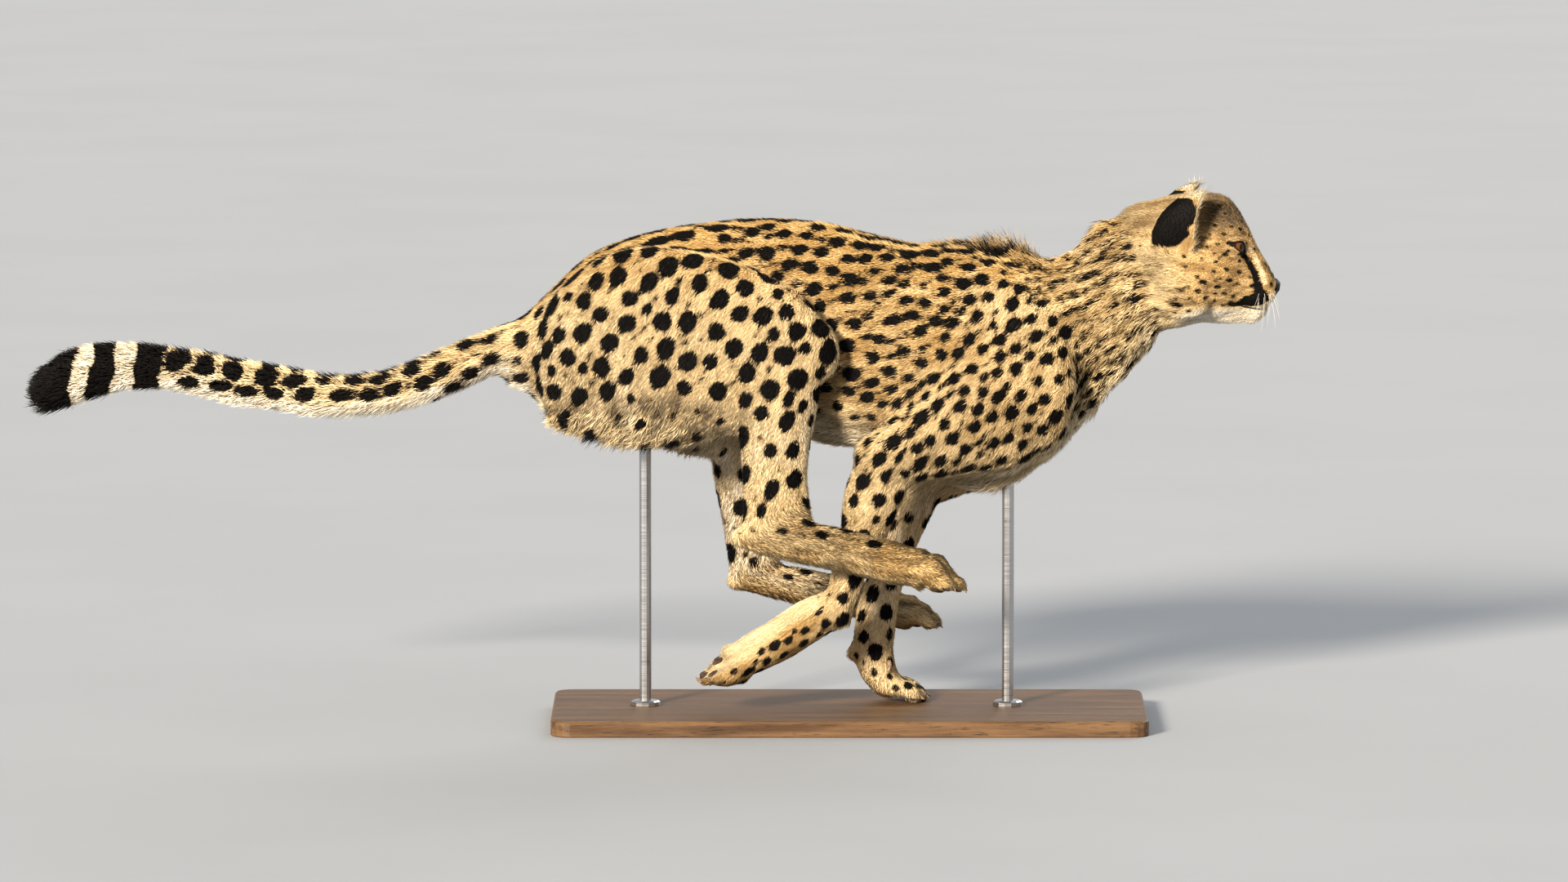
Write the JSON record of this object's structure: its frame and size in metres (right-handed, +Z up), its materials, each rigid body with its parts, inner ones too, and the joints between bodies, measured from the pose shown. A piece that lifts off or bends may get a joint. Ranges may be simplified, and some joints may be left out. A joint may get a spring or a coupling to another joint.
{
  "type": "running cheetah model",
  "caption": "Life-size spotted cheetah in mid-stride at a run, with legs gathered under the body and tail out behind, held over a flat board by two short rods.",
  "frame": {"origin": "centre of the underside of the stand's board", "axes": "+X the way the animal runs, from tail to nose; +Z up; +Y the animal's left"},
  "size_m": [1.6784, 0.366, 0.7244],
  "materials": {
    "coat": "short fur, tawny to cream with black spots, white below, rings at the tail's end",
    "nose_skin": "bare black skin, slightly damp",
    "eye": "wet, amber brown with a round dark pupil",
    "claw": "horn, dark with a paler root",
    "stand_wood": "oiled oak, satin",
    "stand_steel": "satin"
  },
  "bodies": {
    "root": {"head": "coat", "ear_left": "coat", "ear_right": "coat", "neck": "coat", "chest": "coat", "loin": "coat", "rump": "coat", "tail_base": "coat", "tail_2": "coat", "tail_3": "coat", "tail_4": "coat", "tail_tip": "coat", "upper_arm_left": "coat", "upper_arm_right": "coat", "forearm_left": "coat", "forearm_right": "coat", "fore_paw_left": "coat", "fore_paw_right": "coat", "thigh_left": "coat", "thigh_right": "coat", "shank_left": "coat", "shank_right": "coat", "metatarsus_left": "coat", "metatarsus_right": "coat", "hind_paw_left": "coat", "hind_paw_right": "coat", "nose": "nose_skin", "eye_left": "eye", "eye_right": "eye", "claw_fore_left_1": "claw", "claw_fore_left_2": "claw", "claw_fore_left_3": "claw", "claw_fore_left_4": "claw", "claw_fore_right_1": "claw", "claw_fore_right_2": "claw", "claw_fore_right_3": "claw", "claw_fore_right_4": "claw", "claw_hind_left_1": "claw", "claw_hind_left_2": "claw", "claw_hind_left_3": "claw", "claw_hind_left_4": "claw", "claw_hind_right_1": "claw", "claw_hind_right_2": "claw", "claw_hind_right_3": "claw", "claw_hind_right_4": "claw", "claw_fore_left_dew": "claw", "claw_fore_right_dew": "claw", "stand_base": "stand_wood", "stand_rod_front": "stand_steel", "stand_rod_rear": "stand_steel"}
  },
  "joints": []
}
